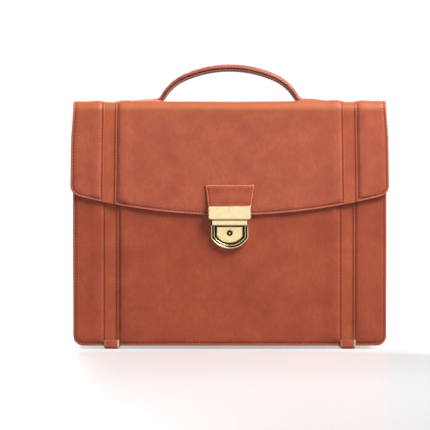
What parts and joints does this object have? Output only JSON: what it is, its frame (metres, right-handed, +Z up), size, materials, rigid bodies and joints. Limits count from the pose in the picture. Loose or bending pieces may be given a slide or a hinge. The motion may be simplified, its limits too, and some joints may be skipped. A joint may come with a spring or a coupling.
{
  "type": "briefcase",
  "caption": "Flap-over leather briefcase with sunken strips, a padded arched handle, leather foot runners and a keyed brass press lock.",
  "frame": {"origin": "on the ground, midway between the side edges and midway between the hasp's face and the rear lips of the foot runners", "axes": "+X to the right seen from the front, along the width; -Y to the front; +Z up"},
  "size_m": [0.3892, 0.1064, 0.35],
  "materials": {
    "flap_leather": "pull-up finish, slight sheen",
    "body_leather": "pull-up finish, slight sheen",
    "strip_leather": "thin veg-tanned leather, satin",
    "sole_leather": "thick leather with raw cut edges",
    "lining_suede": "suede",
    "lining_cloth": "cotton twill",
    "board": "pressed fibre board",
    "brass": "polished",
    "brass_satin": "satin",
    "steel": "plain"
  },
  "bodies": {
    "case": {"back_centre_panel": "body_leather", "back_side_panel_left": "body_leather", "back_side_panel_right": "body_leather", "back_strip_left": "strip_leather", "back_strip_right": "strip_leather", "back_lining": "lining_cloth", "gusset_left": "body_leather", "gusset_right": "body_leather", "gusset_base": "body_leather", "base_board": "board", "divider": "lining_cloth", "inner_pocket": "lining_cloth", "foot_runner_left": "sole_leather", "foot_runner_right": "sole_leather"},
    "front": {"front_centre_panel": "body_leather", "front_side_panel_left": "body_leather", "front_side_panel_right": "body_leather", "front_strip_left": "strip_leather", "front_strip_right": "strip_leather", "front_lining": "lining_cloth", "lock_plate": "brass", "lock_case": "steel", "lock_clip": "steel", "lock_screws": "steel"},
    "lock_button": {"lock_button": "brass_satin", "button_springs": "steel"},
    "key_barrel": {"key_barrel": "steel"},
    "lock_bolt": {"lock_bolt": "steel"},
    "flap_top": {"flap_top_centre": "flap_leather", "flap_top_side_left": "flap_leather", "flap_top_side_right": "flap_leather", "flap_top_strip_left": "strip_leather", "flap_top_strip_right": "strip_leather", "flap_top_lining": "lining_suede", "handle_patch": "sole_leather", "handle_anchor_left": "sole_leather", "handle_anchor_right": "sole_leather", "anchor_rivets": "brass"},
    "flap_front": {"flap_centre_panel": "flap_leather", "flap_side_panel_left": "flap_leather", "flap_side_panel_right": "flap_leather", "flap_strip_left": "strip_leather", "flap_strip_right": "strip_leather", "flap_lining": "lining_suede", "hasp_tab": "flap_leather", "hasp_plate": "brass", "hasp_tongue": "brass", "hasp_rivets": "brass"},
    "handle": {"handle_cover": "flap_leather", "handle_core": "board", "handle_strap": "sole_leather"}
  },
  "joints": [
    {"name": "top_fold", "type": "hinge", "parent": "case", "child": "flap_top", "pos_m": [0, 0.04619, 0.29919], "axis": [-1, 0, 0], "range_deg": [0, 170]},
    {"name": "front_fold", "type": "hinge", "parent": "flap_top", "child": "flap_front", "pos_m": [0, -0.04019, 0.29919], "axis": [-1, 0, 0], "range_deg": [0, 100]},
    {"name": "front_gape", "type": "hinge", "parent": "case", "child": "front", "pos_m": [0, -0.0383, 0.0038], "axis": [1, 0, 0], "range_deg": [0, 4]},
    {"name": "handle_tilt", "type": "hinge", "parent": "flap_top", "child": "handle", "pos_m": [0, 0.003, 0.302], "axis": [1, 0, 0], "range_deg": [-18, 18], "stiffness_Nm_per_rad": 0.15},
    {"name": "button_press", "type": "slide", "parent": "front", "child": "lock_button", "axis": [0, 1, 0], "range_m": [0, 0.002], "stiffness_N_per_m": 400},
    {"name": "key_turn", "type": "hinge", "parent": "lock_button", "child": "key_barrel", "pos_m": [0, -0.04, 0.1414], "axis": [0, -1, 0], "range_deg": [0, 90]},
    {"name": "bolt_throw", "type": "slide", "parent": "front", "child": "lock_bolt", "axis": [0, 0, 1], "range_m": [0, 0.003]}
  ],
  "couplings": [
    {"joint": "front_gape", "follows": "top_fold", "ratio": 0.0235},
    {"joint": "key_turn", "follows": "bolt_throw", "rad_per_m": 523.5}
  ]
}
